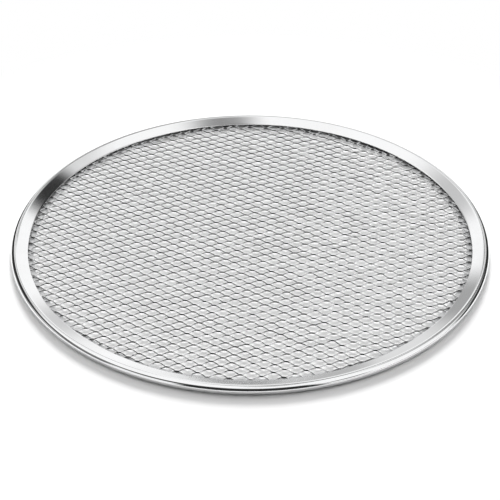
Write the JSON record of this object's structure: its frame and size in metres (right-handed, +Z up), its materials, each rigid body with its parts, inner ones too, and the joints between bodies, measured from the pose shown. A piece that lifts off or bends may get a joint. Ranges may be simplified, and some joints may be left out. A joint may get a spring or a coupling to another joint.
{
  "type": "pizza screen",
  "caption": "Round flat baking screen: a disc of expanded aluminium mesh clamped in a folded aluminium rim, for baking pizza with airflow from below.",
  "frame": {"origin": "centre of the ring, on the surface that the screen lies on", "axes": "+Z up, square to the mesh; +X along the long way of the mesh openings, within a few degrees"},
  "size_m": [0.3048, 0.3048, 0.0054],
  "materials": {
    "rim_aluminium": "bright rolled, smooth",
    "mesh_aluminium": "bright, slit edges"
  },
  "bodies": {
    "root": {"rim": "rim_aluminium", "mesh_disc": "mesh_aluminium"}
  },
  "joints": []
}
